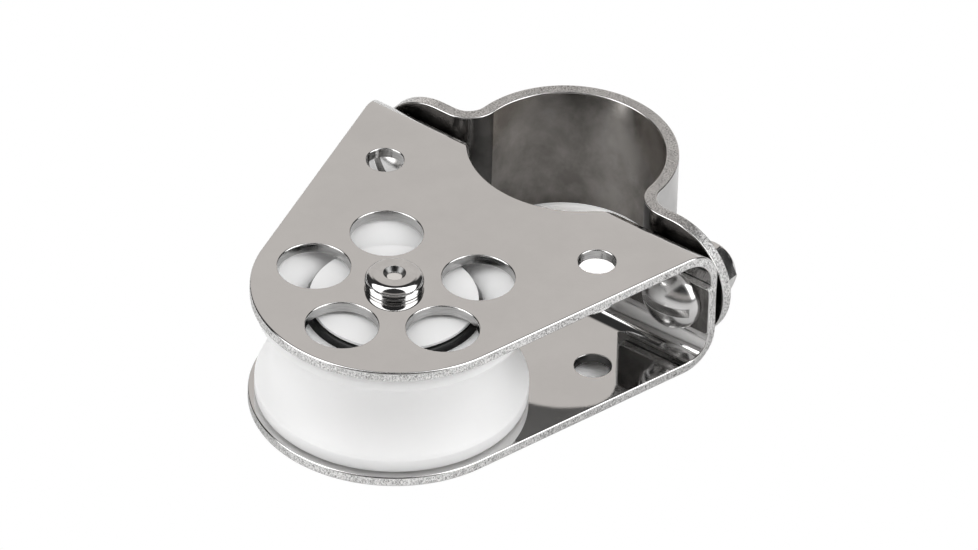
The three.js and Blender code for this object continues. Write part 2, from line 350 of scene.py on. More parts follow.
def frame_outline():
    """The sheet's outline: a quarter of it, then its mirror images."""
    quarter = [(half_width(WEB_X - SHEET / 2), 0.0, 1.0, 0.0, "web")]
    for k, a in enumerate(fold_angles()):
        x = BEND_X + MID_BEND * math.cos(a)
        slope = math.tan(FLARE) * math.sin(a)
        size = math.hypot(1, slope)
        quarter.append((half_width(x), LIFT + MID_BEND * a, 1 / size, slope / size, ("fold", k)))
    nose = unfolded(SHEAVE_X)
    steps = 100
    for k in range(steps + 1):
        a = FLARE + (math.pi / 2 - FLARE) * k / steps
        c, s = math.cos(a), math.sin(a)
        quarter.append((NOSE_RADIUS * c, nose + NOSE_RADIUS * s, c, s, None))
    return mirrored(quarter)


def frame_cutout():
    """The clearance cut for the rail: across the web and into both cheeks."""
    quarter = []
    web = BEND_X + MID_BEND
    quarter.append((math.sqrt(CUTOUT_RADIUS ** 2 - (web - CUTOUT_X) ** 2), 0.0, -1.0, 0.0, "web"))
    for k, a in enumerate(fold_angles()):
        x = BEND_X + MID_BEND * math.cos(a)
        y = math.sqrt(CUTOUT_RADIUS ** 2 - (x - CUTOUT_X) ** 2)
        slope = (x - CUTOUT_X) * math.sin(a) / y
        size = math.hypot(1, slope)
        quarter.append((y, LIFT + MID_BEND * a, -1 / size, slope / size, ("fold", k)))
    start = math.acos((CUTOUT_X - BEND_X) / CUTOUT_RADIUS)
    steps = 36
    for k in range(1, steps + 1):
        a = start * (1 - k / steps)
        c, s = math.cos(a), math.sin(a)
        quarter.append((CUTOUT_RADIUS * s, unfolded(CUTOUT_X - CUTOUT_RADIUS * c), -s, -c, None))
    return mirrored(quarter)[::-1]


def mirrored(quarter):
    """Completes a counter-clockwise loop from its first quarter, which starts on +x and ends on +y."""
    def named(cut, way):
        return (cut, way) if isinstance(cut, tuple) else cut
    first = [(x, y, nx, ny, named(cut, 1)) for x, y, nx, ny, cut in quarter]
    second = [(-x, y, -nx, ny, named(cut, 1)) for x, y, nx, ny, cut in reversed(quarter[:-1])]
    third = [(-x, -y, -nx, -ny, named(cut, -1)) for x, y, nx, ny, cut in quarter[1:]]
    fourth = [(x, -y, nx, -ny, named(cut, -1)) for x, y, nx, ny, cut in reversed(quarter[1:-1])]
    return first + second + third + fourth


def make_frame(materials):
    """The folded plate. materials: faces, rims, cut edges and hole walls."""
    shell = Shell()
    loops = [(frame_outline(), SHEAR_RIMS, 2), (frame_cutout(), SHEAR_RIMS, 2)]
    for sign in (1, -1):
        for degrees in LIGHTENING_ANGLES:
            a = math.radians(degrees)
            hole = circle(LIGHTENING_CIRCLE * math.sin(a),
                          sign * unfolded(SHEAVE_X + LIGHTENING_CIRCLE * math.cos(a)),
                          LIGHTENING_RADIUS, 96)
            loops.append((hole, HOLE_RIMS, 3))
        loops.append((circle(0, sign * unfolded(SHEAVE_X), PIN_RADIUS, 48), BOLT_RIMS, 3))
        for side in SIDES.values():
            hole = circle(side * LINE_HOLE_Y, sign * unfolded(LINE_HOLE_X), LINE_HOLE_RADIUS, 72)
            loops.append((hole, HOLE_RIMS, 3))
    for side in SIDES.values():
        loops.append((circle(side * SCREW_Y, 0, SCREW_HOLE, 72), BOLT_RIMS, 3))
    sheet(shell, loops, SHEET, fold_frame)
    shell.piece("frame", "frame", materials)


# ---- strap ----

BAND = RAIL_RADIUS + STRAP / 2
EAR_LINE = EAR_X + STRAP / 2
NECK_X = EAR_LINE + NECK_RADIUS
NECK_Y = math.sqrt((BAND + NECK_RADIUS) ** 2 - NECK_X ** 2)
MEET = math.atan2(NECK_Y, NECK_X)
EAR_LENGTH = EAR_END - NECK_Y
NECK_LENGTH = NECK_RADIUS * MEET
BAND_LENGTH = 2 * BAND * MEET
STRAP_LENGTH = 2 * (EAR_LENGTH + NECK_LENGTH) + BAND_LENGTH
NECK_STEPS, BAND_STEPS, END_STEPS = 14, 84, 48
STRAP_RIMS = (0.16, 0.13)


def fold_strap(s, z, t):
    """Bends the flat strip: right ear, neck, band, neck, left ear; s is measured along it."""
    if s > STRAP_LENGTH / 2:  # the left half mirrors the right one
        (x, y, z), (along, up, out) = fold_strap(STRAP_LENGTH - s, z, t)
        return (x, -y, z), ((-along[0], along[1], 0), up, (out[0], -out[1], 0))
    if s <= EAR_LENGTH:
        return (EAR_LINE + t, s - EAR_END, z), ((0, 1, 0), (0, 0, 1), (1, 0, 0))
    if s <= EAR_LENGTH + NECK_LENGTH:
        a = (s - EAR_LENGTH) / NECK_RADIUS
        c, w = math.cos(a), math.sin(a)
        point = (NECK_X - (NECK_RADIUS - t) * c, -NECK_Y + (NECK_RADIUS - t) * w, z)
        return point, ((w, c, 0), (0, 0, 1), (c, -w, 0))
    a = (s - EAR_LENGTH - NECK_LENGTH) / BAND - MEET
    c, w = math.cos(a), math.sin(a)
    return ((BAND + t) * c, (BAND + t) * w, z), ((-w, c, 0), (0, 0, 1), (c, w, 0))


def strap_cuts():
    """Where the strip's faces are divided to follow its bends."""
    marks = [EAR_LENGTH]
    for length, steps in ((NECK_LENGTH, NECK_STEPS), (BAND_LENGTH, BAND_STEPS),
                          (NECK_LENGTH, NECK_STEPS)):
        start = marks[-1]
        marks += [start + length * k / steps for k in range(1, steps + 1)]
    return marks


def make_strap(materials):
    """The clamp strap. materials: outside, rims, cut edges, the band's inside, and the necks' and
    ears' insides, whose near-black steel is painted shade.
    """
    shell = Shell()
    marks = strap_cuts()
    radius = STRAP_HALF
    bottom = [(s, -radius, 0.0, -1.0, k) for k, s in enumerate(marks)]
    top = [(s, radius, 0.0, 1.0, k) for k, s in enumerate(marks)][::-1]

    def end(centre, start):
        """An ear's half-round end."""
        turns = [start + math.pi * k / END_STEPS for k in range(END_STEPS + 1)]
        return [(centre + radius * math.cos(a), radius * math.sin(a), math.cos(a), math.sin(a), None)
                for a in turns]
    outline = (bottom + end(STRAP_LENGTH - radius, -math.pi / 2)
               + top + end(radius, math.pi / 2))
    inset = EAR_END - SCREW_Y
    loops = [(outline, STRAP_RIMS, 2), (circle(inset, 0, SCREW_HOLE), BOLT_RIMS, 2),
             (circle(STRAP_LENGTH - inset, 0, SCREW_HOLE), BOLT_RIMS, 2)]
    sheet(shell, loops, STRAP, fold_strap, inner_look=3)
    neck_start = BAND * math.cos(MEET)
    for i, face in enumerate(shell.faces):  # the necks' and ears' insides take near-black steel: painted shade, darker than the band
        if shell.looks[i] == 3 and max(shell.points[k][0] for k in face) < neck_start:
            shell.looks[i] = 4
    shell.piece("clamp_strap", "clamp", materials)


# ---- clamp fittings ----

PLATE_CORNER = 0.6
PLATE_RIMS = (0.1, 0.12)
WASHER_BORE = 2.7


def make_plate(side, materials):
    """The backing plate under a screw head."""
    node = "backing_plate_" + side
    low, high = box_mm(node)
    middle = (low + high) / 2
    wide, tall, thick = high.y - low.y, high.z - low.z, high.x - low.x
    corners = [(across * wide / 2, up * tall / 2, PLATE_CORNER)
               for across, up in ((-1, -1), (1, -1), (1, 1), (-1, 1))]
    outline = [(x, y, nx, ny, None) for x, y, nx, ny in rounded(corners, 8)]
    hole = circle(SIDES[side] * SCREW_Y - middle.y, 0, SCREW_HOLE)

    def fold(y, z, t):
        point = (middle.x + t, middle.y + y, middle.z + z)
        return point, ((0, 1, 0), (0, 0, 1), (1, 0, 0))
    shell = Shell()
    sheet(shell, [(outline, PLATE_RIMS, 2), (hole, BOLT_RIMS, 2)], thick, fold)
    shell.piece(node, "frame", materials)


def make_washer(side, materials):
    """The washer between a nut and its ear, its outer edges well rounded."""
    node = "washer_" + side
    low, high = box_mm(node)
    outer, thick = (high.y - low.y) / 2, high.x - low.x
    profile = rounded([(WASHER_BORE, 0, 0.1), (outer, 0, 0.3),
                       (outer, thick, 0.3), (WASHER_BORE, thick, 0.1)])
    shell = Shell()
    lathe(shell, profile, along_x(low.x, (low.y + high.y) / 2), 96)
    shell.piece(node, "clamp", materials)


NUT_ACROSS_FLATS = 7.5
NUT_HEXAGON = 2.5  # height of the hexagon below the collar
NUT_FACE = 3.6  # radius of the flat bearing face inside the chamfer
NUT_CHAMFER = 28  # degrees
NUT_EDGE = 0.35  # radius of the hexagon's corners
NUT_TURN = -10  # degrees
NUT_BORE = 2.52
FLAT_STEPS = 12  # parts that a flat is divided into, for the chamfer's curve
COLLAR_RADIUS = 3.45
INSERT_RADIUS = 3.06  # of the recess that holds the nylon ring
INSERT_DEPTH = 0.82


def make_nut(side, materials):
    """A lock nut: chamfered hexagon, round collar rolled in over a nylon ring."""
    node = "clamp_nut_" + side
    low, high = box_mm(node)
    place, turn = along_x(low.x, (low.y + high.y) / 2)
    height = high.x - low.x
    corner = NUT_ACROSS_FLATS / math.sqrt(3)
    turns = [math.radians(NUT_TURN + 60 * k) for k in range(6)]
    hexagon = rounded([(corner * math.cos(a), corner * math.sin(a), NUT_EDGE) for a in turns], 6)
    outline = []
    for a, b in zip(hexagon, hexagon[1:] + hexagon[:1]):
        outline.append(a)
        if math.hypot(b[0] - a[0], b[1] - a[1]) > NUT_EDGE * 2:  # a flat, not a step of a corner
            for k in range(1, FLAT_STEPS):
                f = k / FLAT_STEPS
                outline.append(tuple(a[i] * (1 - f) + b[i] * f for i in range(4)))
    slope = math.tan(math.radians(NUT_CHAMFER))
    size = math.hypot(slope, 1)

    def hexagon_row(top):
        """The hexagon's edge where the chamfer's cone meets it, with its side's and cone's normals."""
        side_row, cone_row = [], []
        for x, y, nx, ny in outline:
            reach = math.hypot(x, y)
            drop = (reach - NUT_FACE) * slope
            h = NUT_HEXAGON - drop if top else drop
            up = 1 if top else -1
            cone = (x / reach * slope / size, y / reach * slope / size, up / size)
            side_row.append((place(x, y, h), turn(nx, ny, 0)))
            cone_row.append((place(x, y, h), turn(*cone)))
        return side_row, cone_row

    def ring_row(radius, h, normal):
        """A round row with a point beside each point of the hexagon's edge."""
        row = []
        for x, y, _, _ in outline:
            reach = math.hypot(x, y)
            c, s = x / reach, y / reach
            row.append((place(radius * c, radius * s, h),
                        turn(normal[0] * c, normal[0] * s, normal[1])))
        return row

    shell = Shell()
    low_side, low_cone = hexagon_row(False)
    high_side, high_cone = hexagon_row(True)
    shell.strip(low_side, high_side)
    shell.strip(low_cone, ring_row(NUT_FACE, 0, (slope / size, -1 / size)))
    shell.strip(high_cone, ring_row(NUT_FACE, NUT_HEXAGON, (slope / size, 1 / size)))
    collar = rounded([
        (NUT_FACE, NUT_HEXAGON, 0), (COLLAR_RADIUS, NUT_HEXAGON + 0.02, 0.01),
        (COLLAR_RADIUS, height, 0.55), (INSERT_RADIUS - 0.25, height, 0.12),
        (INSERT_RADIUS, height - INSERT_DEPTH, 0.05), (NUT_BORE, height - INSERT_DEPTH, 0.05),
        (NUT_BORE, 0, 0.25), (NUT_FACE, 0, 0)], 5, closed=False)
    collar[0] = collar[0][:2] + (0, 1)
    collar[-1] = collar[-1][:2] + (0, -1)
    rows = [ring_row(r, h, (nr, nh)) for r, h, nr, nh in collar]
    for a, b in zip(rows, rows[1:]):
        shell.strip(a, b)
    shell.piece(node, "nut_" + side, materials)


def make_insert(side, materials):
    """The nylon ring under a nut's rolled-in collar."""
    node = "nylon_insert_" + side
    low, high = box_mm(node)
    outer, thick = (high.y - low.y) / 2, high.x - low.x
    profile = rounded([(NUT_BORE, 0, 0.15), (outer - 0.02, 0, 0.1),
                       (outer - 0.3, thick, 0.15), (NUT_BORE, thick, 0.2)])
    shell = Shell()
    lathe(shell, profile, along_x(low.x, (low.y + high.y) / 2), 72)
    shell.piece(node, "nut_" + side, materials)


HEAD_RADIUS = 4.35
HEAD_HEIGHT = 3.1
SHANK_RADIUS = 2.4
SLOT_WIDTH = 1.2
SLOT_DEPTH = 1.5
SLOT_EDGE = 0.09  # bevel round the slot
SLOT_STEPS = 60
SLOT_ANGLES = {"left": 42, "right": 0}  # degrees
THREAD_LENGTH = 5.2
THREAD_PITCH = 0.8
THREAD_DEPTH = 0.42
THREAD_END = 0.5  # height of the chamfer at the screw's end
AROUND = 128  # points round a screw
HEAD_RINGS = 14
ROWS_PER_TURN = 10


def dome(x, y):
    """Height above the seat and normal of a screw head's dome, at a point of its plan."""
    share = min(1.0, (x * x + y * y) / HEAD_RADIUS ** 2)
    h = HEAD_HEIGHT * math.sqrt(1 - share)
    n = Vector((x / HEAD_RADIUS ** 2, y / HEAD_RADIUS ** 2, h / HEAD_HEIGHT ** 2)).normalized()
    return h, tuple(n)


def make_screw(side, materials):
    """A slotted round-head screw with a rolled thread at its end."""
    node = "clamp_screw_" + side
    low, high = box_mm(node)
    seat = low.x + HEAD_HEIGHT
    y_axis = (low.y + high.y) / 2
    turn_by = math.radians(SLOT_ANGLES[side])
    ct, st = math.cos(turn_by), math.sin(turn_by)

    def placed(x, y, h):
        """Local x runs along the slot and h points away from the seat, towards the sheave."""
        return (seat - h, y_axis + x * ct - y * st, x * st + y * ct)

    def turned_normal(nx, ny, nh):
        return (-nh, nx * ct - ny * st, nx * st + ny * ct)

    shell = Shell()
    floor = HEAD_HEIGHT - SLOT_DEPTH
    reach = HEAD_RADIUS * math.sqrt(1 - (floor / HEAD_HEIGHT) ** 2)  # where the slot runs out

    def slot_loop(half, radius):
        """The slot's outline in plan: two straight sides and two arcs, counter-clockwise."""
        a0 = math.asin(half / radius)
        right = [(radius * math.cos(a), radius * math.sin(a))
                 for a in (a0 * (2 * k / 8 - 1) for k in range(9))]
        x0 = radius * math.cos(a0)
        far = [(x0 * (1 - 2 * k / SLOT_STEPS), half) for k in range(1, SLOT_STEPS)]
        left = [(-x, -y) for x, y in right]
        near = [(-x, -y) for x, y in far]
        return right + far + left + near

    half = SLOT_WIDTH / 2
    outer_loop = slot_loop(half + SLOT_EDGE, reach + SLOT_EDGE)
    wall_loop = slot_loop(half, reach)
    on_dome, lip, foot = [], [], []
    for (ox, oy), (wx, wy) in zip(outer_loop, wall_loop):
        h, n = dome(ox, oy)
        on_dome.append((placed(ox, oy, h), turned_normal(*n)))
        wall_top = max(floor, dome(wx, wy)[0] - SLOT_EDGE)
        inward = (0, -math.copysign(1, wy), 0) if abs(wy) > half * 0.98 else (0, 0, 1)
        lip.append((placed(wx, wy, wall_top), turned_normal(*inward)))
        foot.append((placed(wx, wy, floor), turned_normal(*inward)))
    shell.strip(on_dome, lip)
    shell.strip(lip, foot)
    shell.face([(point, turned_normal(0, 0, 1)) for point, _ in foot])

    # The dome is meshed in plan, from rings of points outside the slot.
    plan = list(outer_loop)
    links = [(i, (i + 1) % len(outer_loop)) for i in range(len(outer_loop))]
    for k in range(1, HEAD_RINGS + 1):
        lift = math.pi / 2 * (1 - k / HEAD_RINGS)
        radius = HEAD_RADIUS * math.cos(lift)
        first = len(plan)
        ring = [(radius * math.cos(2 * math.pi * i / AROUND),
                 radius * math.sin(2 * math.pi * i / AROUND)) for i in range(AROUND)]
        if k < HEAD_RINGS:
            ring = [p for p in ring if math.hypot(*p) > reach + 2 * SLOT_EDGE or
                    abs(p[1]) > half + 2 * SLOT_EDGE]
        else:
            links += [(first + i, first + (i + 1) % AROUND) for i in range(AROUND)]
        plan += ring
    points, _, triangles, _, _, _ = delaunay_2d_cdt([Vector(p) for p in plan], links, [], 0, 1e-7)
    centres = np.array([np.mean([points[i] for i in t], axis=0) for t in triangles])
    in_slot = inside(centres, [outer_loop])
    for triangle, hidden in zip(triangles, in_slot):
        if hidden:
            continue
        corners = []
        for i in triangle:
            h, n = dome(*points[i])
            corners.append((placed(points[i][0], points[i][1], h), turned_normal(*n)))
        shell.face(corners)

    place, turn = (lambda x, y, h: placed(x, y, -h)), (lambda x, y, h: turned_normal(x, y, -h))
    end = high.x - seat
    thread_from = end - THREAD_LENGTH
    neck = [(HEAD_RADIUS, 0, 0, 1), (SHANK_RADIUS, 0, 0, 1), (SHANK_RADIUS, 0, 1, 0),
            (SHANK_RADIUS, thread_from, 1, 0)]
    lathe(shell, neck, (place, turn), AROUND, closed=False)
    # The thread: a round row for each step along the axis, its radius following the helix.
    rows = []
    count = int((end - thread_from) / THREAD_PITCH * ROWS_PER_TURN)
    for k in range(count + 1):
        h = thread_from + (end - thread_from) * k / count
        fade = min(1.0, k / ROWS_PER_TURN)  # the first turn runs out of the shank
        limit = SHANK_RADIUS - max(0.0, h - (end - THREAD_END))
        row = []
        for i in range(AROUND):
            a = 2 * math.pi * i / AROUND
            phase = (h / THREAD_PITCH - i / AROUND) % 1  # 0.5 at the thread's root
            valley = THREAD_DEPTH * fade * (1 - abs(2 * phase - 1)) ** 0.9
            r = min(limit, SHANK_RADIUS - valley)
            lean = (-1 if phase < 0.5 else 1) * 0.6 * fade
            n = Vector((math.cos(a), math.sin(a), -lean)).normalized()
            row.append((place(r * math.cos(a), r * math.sin(a), h), turn(*n)))
        rows.append(row)
    for a, b in zip(rows, rows[1:]):
        shell.strip(a, b)
    shell.face([(p, turn(0, 0, 1)) for p, _ in rows[-1]])
    shell.piece(node, "frame", materials)


# ---- sheave, bearing and axle ----

PIN_RADIUS = 3.06  # of its hole in the cheeks
PIN_HEAD_HEIGHT = 1.85
DIMPLE_RADIUS = 1.46
DIMPLE_FLOOR = 0.95  # radius of its flat floor
DIMPLE_DEPTH = 0.57
GROOVE_HALF = 5.25  # half its width
GROOVE_EDGE = 17.1  # its radius from the axle, at its lips
GROOVE_FLOOR = 14.6  # and at its deepest
GROOVE_STEPS = 28
DISH_RADIUS = 15.2
DISH_FLOOR = 5.75
RIM_ROUND = 0.4
SHEAVE_BORE = 11.42  # leaves a dark slit round the race
DISC_BORE = 4.16
RACE_BORE = 4.4
SLEEVE_BORE = 3.3


def make_sheave(materials):
    """The grooved sheave, its sides dished from the rim down to the bore."""
    radius, half = (SHEAVE_HIGH.x - SHEAVE_LOW.x) / 2, SHEAVE_HIGH.z
    depth = GROOVE_EDGE - GROOVE_FLOOR
    arc = (GROOVE_HALF ** 2 + depth ** 2) / (2 * depth)
    reach = math.asin(GROOVE_HALF / arc)
    groove = []
    for k in range(1, GROOVE_STEPS):
        a = reach * (2 * k / GROOVE_STEPS - 1)
        groove.append((GROOVE_FLOOR + arc * (1 - math.cos(a)), arc * math.sin(a), 0))
    upper = [(GROOVE_EDGE, GROOVE_HALF, 0.3), (radius, GROOVE_HALF + 0.35, 0.3),
             (radius, half, RIM_ROUND), (DISH_RADIUS, half, 1.2), (SHEAVE_BORE, DISH_FLOOR, 0.15)]
    lower = [(r, -h, e) for r, h, e in reversed(upper)]
    shell = Shell()
    lathe(shell, rounded(lower + groove + upper, 6), upright(SHEAVE_X), 256)
    shell.piece("sheave", "wheel", materials)


def make_ring(node, body, inner, edge, materials, segments=160):
    """A plain ring about the axle, with rounded edges."""
    low, high = box_mm(node)
    outer = (high.x - low.x) / 2
    profile = rounded([(inner, low.z, edge), (outer, low.z, edge),
                       (outer, high.z, edge), (inner, high.z, edge)])
    shell = Shell()
    lathe(shell, profile, upright(SHEAVE_X), segments)
    shell.piece(node, body, materials)


def make_pin(materials):
    """The riveted pin: a shank with a formed and dimpled head at each end."""
    low, high = box_mm("axle_pin")
    radius, top = (high.x - low.x) / 2, high.z
    face = top - PIN_HEAD_HEIGHT
    # From the cheek up: a step, a turned line, the head's round side, and the dimple.
    upper = [(3.0, face, 0), (radius - 0.05, face, 0.08), (radius - 0.05, face + 0.26, 0.09),
             (radius - 0.2, face + 0.33, 0.03), (radius, face + 0.42, 0.1), (radius, top, 1.12),
             (DIMPLE_RADIUS, top, 0.07), (DIMPLE_FLOOR, top - DIMPLE_DEPTH, 0.07)]
    lower = [(r, -h, e) for r, h, e in reversed(upper)]
    pit = top - DIMPLE_DEPTH
    profile = rounded([(0, -pit, 0)] + lower + upper + [(0, pit, 0)], 8, closed=False)
    profile[0] = (0, -pit, 0, -1)
    profile[-1] = (0, pit, 0, 1)
    # The dimple's cone (look 1) takes near-black steel, painted shade in the hollow, and its flat
    # floor (look 2) near-white steel, a painted highlight.
    looks = [1 if DIMPLE_FLOOR < r < DIMPLE_RADIUS and abs(h) > face else
             2 if r <= DIMPLE_FLOOR else 0 for r, h, _, _ in profile]
    shell = Shell()
    lathe(shell, profile, upright(SHEAVE_X), 128, looks, closed=False)
    shell.piece("axle_pin", "frame", materials)


# ---- materials ----

class Nodes:
    """A small helper that makes and links shader nodes."""

    def __init__(self, tree):
        self.tree = tree
        tree.nodes.clear()

    def add(self, kind, inputs=None, **settings):
        """Adds a node. Each input, by name or number, is linked to a socket or set to a value."""
        node = self.tree.nodes.new(kind)
        for name, value in settings.items():
            setattr(node, name, value)
        for key, value in (inputs or {}).items():
            if isinstance(value, bpy.types.NodeSocket):
                self.tree.links.new(value, node.inputs[key])
            else:
                node.inputs[key].default_value = value
        return node

    def place(self, stretch=(1, 1, 1), turn=(0, 0, 0)):
        """Object coordinates in millimetres, stretched along the axes."""
        where = self.add("ShaderNodeTexCoord").outputs["Object"]
        return self.add("ShaderNodeMapping", {
            "Vector": where, "Scale": [s / MM for s in stretch], "Rotation": turn}).outputs["Vector"]

    def noise(self, where, scale, detail=3, roughness=0.5, distortion=0.0):
        """A noise value, mostly 0.3 to 0.7; scale is in features per millimetre."""
        return self.add("ShaderNodeTexNoise", {
            "Vector": where, "Scale": scale, "Detail": detail, "Roughness": roughness,
            "Distortion": distortion}).outputs["Fac"]

    def spread(self, value, low, high, start=0.3, end=0.7, **settings):
        """Maps a value from start..end to low..high."""
        return self.add("ShaderNodeMapRange", {
            "Value": value, "From Min": start, "From Max": end, "To Min": low, "To Max": high},
            **settings).outputs["Result"]

    def blend(self, a, b, share):
        """A mix of two values: share of b and the rest of a."""
        return self.add("ShaderNodeMix", {"Factor": share, "A": a, "B": b},
                        data_type="FLOAT").outputs["Result"]

    def colours(self, value, stops):
        """A colour ramp; stops are (value, colour), lowest first."""
        ramp = self.add("ShaderNodeValToRGB", {"Fac": value})
        elements = ramp.color_ramp.elements
        while len(elements) < len(stops):
            elements.new(0.5)
        for element, (position, colour) in zip(elements, stops):
            element.position = position
            element.color = (*colour, 1)
        return ramp.outputs["Color"]

    def bump(self, height, strength, distance, under=None):
        """Relief from a value, up to distance deep, over the relief already in under."""
        inputs = {"Height": height, "Strength": strength, "Distance": distance * MM}
        if under is not None:
            inputs["Normal"] = under
        return self.add("ShaderNodeBump", inputs).outputs["Normal"]

    def finish(self, colour, roughness, normal, **constants):
        """Ends a material with its shader, and gives that and the material's surface socket.

        constants are set on the shader's own sockets.
        """
        inputs = {name.replace("_", " "): value for name, value in constants.items()}
        inputs |= {"Base Color": colour, "Roughness": roughness, "Normal": normal}
        shader = self.add("ShaderNodeBsdfPrincipled", inputs).outputs["BSDF"]
        return shader, self.add("ShaderNodeOutputMaterial", {"Surface": shader}).inputs["Surface"]


def new_material(name):
    material = bpy.data.materials.new(name)
    material.use_nodes = True
    return material, Nodes(material.node_tree)


WARMTH = 0.008  # how far the steel is from grey


def grey(level, warmth=0.0):
    """A grey that is a little redder and less blue by the warmth."""
    return (level * (1 + warmth), level, level * (1 - warmth))


def polished_sheet():
    """Mirror-polished stainless sheet: faint smudges and a very slight waviness."""
    material, n = new_material("polished_sheet")
    smudge = n.noise(n.place(), 0.16, 4, 0.6)
    colour = n.colours(smudge, [(0.3, grey(0.635, WARMTH)), (0.7, grey(0.67, WARMTH))])
    roughness = n.spread(smudge, 0.025, 0.06)
    wave = n.noise(n.place(), 0.12, 2)
    fine = n.noise(n.place(), 9.0, 3)
    normal = n.bump(fine, 0.06, 0.008, n.bump(wave, 0.1, 0.12))
    n.finish(colour, roughness, normal, Metallic=1.0)
    return material


def rolled_rim():
    """The polished round rims beside a cut edge."""
    material, n = new_material("rolled_rim")
    spots = n.noise(n.place(), 1.4, 3)
    colour = n.colours(spots, [(0.3, grey(0.6, WARMTH)), (0.7, grey(0.68, WARMTH))])
    normal = n.bump(spots, 0.12, 0.03)
    n.finish(colour, n.spread(spots, 0.06, 0.14), normal, Metallic=1.0)
    return material


def cut_edge():
    """The sheet's cut edges: finely torn across the thickness, and lightly tumbled."""
    material, n = new_material("cut_edge")
    grain = n.noise(n.place((1, 1, 0.7)), 4.5, 5, 0.85)
    patches = n.noise(n.place(), 0.5, 3)
    colour = n.colours(n.blend(grain, patches, 0.12), [
        (0.39, grey(0.12, WARMTH)), (0.46, grey(0.5, WARMTH)), (0.56, grey(0.9, WARMTH))])
    roughness = n.spread(grain, 0.22, 0.42)
    normal = n.bump(grain, 0.6, 0.035)
    n.finish(colour, roughness, normal, Metallic=1.0)
    return material


def hole_wall():
    """Walls of the drilled holes: reamed smooth, with faint marks round them. Their grey, 0.34 to 0.5
    against the faces' 0.64, is painted shade inside the holes.
    """
    material, n = new_material("hole_wall")
    marks = n.noise(n.place((0.5, 0.5, 5)), 1.2, 3)
    # darker than the faces' steel: painted shade inside the holes; the marks are the wall's own
    colour = n.colours(marks, [(0.3, grey(0.34, 0.01)), (0.7, grey(0.5, 0.01))])
    normal = n.bump(marks, 0.12, 0.02)
    n.finish(colour, n.spread(marks, 0.14, 0.26), normal, Metallic=1.0)
    return material


def strap_steel(name, dark, light, rough):
    """Rolled strip, polished and then bent: cloudy smears, uneven shine and fine scratches."""
    material, n = new_material(name)
    smear = n.noise(n.place((1, 1, 0.8)), 0.13, 5, 0.62, 0.15)
    colour = n.colours(smear, [(0.36, dark), (0.66, light)])
    roughness = n.spread(smear, rough, rough + 0.12)
    wave = n.noise(n.place((1, 1, 0.6)), 0.2, 2)
    scratches = n.noise(n.place((0.5, 0.5, 4), (0.6, 0.3, 0)), 2.2, 4, 0.7)
    normal = n.bump(scratches, 0.1, 0.012, n.bump(wave, 0.25, 0.2))
    n.finish(colour, roughness, normal, Metallic=1.0)
    return material


def fitting_steel(name, rough, dark=0.6, light=0.7):
    """Bright turned and tumbled fittings, with small dents."""
    material, n = new_material(name)
    spots = n.noise(n.place(), 0.6, 4, 0.6)
    colour = n.colours(spots, [(0.3, grey(dark, WARMTH)), (0.7, grey(light, WARMTH))])
    roughness = n.spread(spots, rough, rough + 0.08)
    dents = n.noise(n.place(), 1.5, 2)
    normal = n.bump(dents, 0.14, 0.04)
    n.finish(colour, roughness, normal, Metallic=1.0)
    return material


def sleeve_steel():
    """Turned steel, with the tool's lines round it."""
    material, n = new_material("sleeve_steel")
    lines = n.noise(n.place((1, 1, 14)), 0.8, 3)
    colour = n.colours(lines, [(0.3, grey(0.55)), (0.7, grey(0.66))])
    normal = n.bump(lines, 0.2, 0.02)
    n.finish(colour, n.spread(lines, 0.22, 0.36), normal, Metallic=1.0)
    return material


GLOW_DEPTH = 4.0  # how far light spreads inside the white plastic


def plastic(name, level, rough, grain_strength=0.05, warmth=0.0, turned=True, glow=0.0):
    """Turned or moulded plastic: faint tool lines and a little unevenness in its gloss.

    glow is the share of the light that scatters inside it.
    """
    material, n = new_material(name)
    cloud = n.noise(n.place(), 0.25, 3)
    colour = n.colours(cloud, [(0.3, grey(level * 0.985, warmth)), (0.7, grey(level, warmth))])
    roughness = n.spread(cloud, rough * 0.92, rough * 1.1)
    lines = n.noise(n.place((0.4, 0.4, 9) if turned else (1, 1, 1)), 1.0, 3)
    fine = n.noise(n.place(), 6.0, 2)
    normal = n.bump(fine, grain_strength, 0.02, n.bump(lines, grain_strength, 0.03))
    n.finish(colour, roughness, normal, Metallic=0.0, Subsurface_Weight=glow,
             Subsurface_Scale=GLOW_DEPTH * MM, Subsurface_Radius=(1.0, 1.0, 1.0))
    return material


# ---- camera, floor and light ----

# The camera's place was solved from the plate's outline and holes. Its angles are in degrees.
CAMERA_AZIMUTH = -53.879
CAMERA_ELEVATION = 37.400
CAMERA_ROLL = 1.899
CAMERA_DISTANCE = 1507.4
CAMERA_SENSOR = 36
CAMERA_LENS = 440.5  # its focal length
CAMERA_TARGET = Vector((-27.342, -8.009, HALF_HEIGHT))  # on the upper cheek's face


def direction(azimuth, elevation):
    """A unit vector; azimuth 0 points along -Y and 90 along +X, as in the camera's own angle."""
    a, e = math.radians(azimuth), math.radians(elevation)
    return Vector((math.sin(a) * math.cos(e), -math.cos(a) * math.cos(e), math.sin(e)))


def make_camera():
    """The photo's view."""
    back = direction(CAMERA_AZIMUTH, CAMERA_ELEVATION)
    a, roll = math.radians(CAMERA_AZIMUTH), math.radians(CAMERA_ROLL)
    right = Vector((math.cos(a), math.sin(a), 0))
    up = back.cross(right)
    leaned = math.cos(roll) * right + math.sin(roll) * up
    raised = -math.sin(roll) * right + math.cos(roll) * up
    matrix = Matrix((leaned, raised, back)).transposed().to_4x4()
    matrix.translation = (CAMERA_TARGET + back * CAMERA_DISTANCE) * MM
    data = bpy.data.cameras.new("camera")
    data.lens, data.sensor_width = CAMERA_LENS, CAMERA_SENSOR
    data.clip_start, data.clip_end = 0.1, 10  # metres
    camera = bpy.data.objects.new("camera", data)
    camera.matrix_world = matrix
    bpy.context.scene.collection.objects.link(camera)
    bpy.context.scene.camera = camera


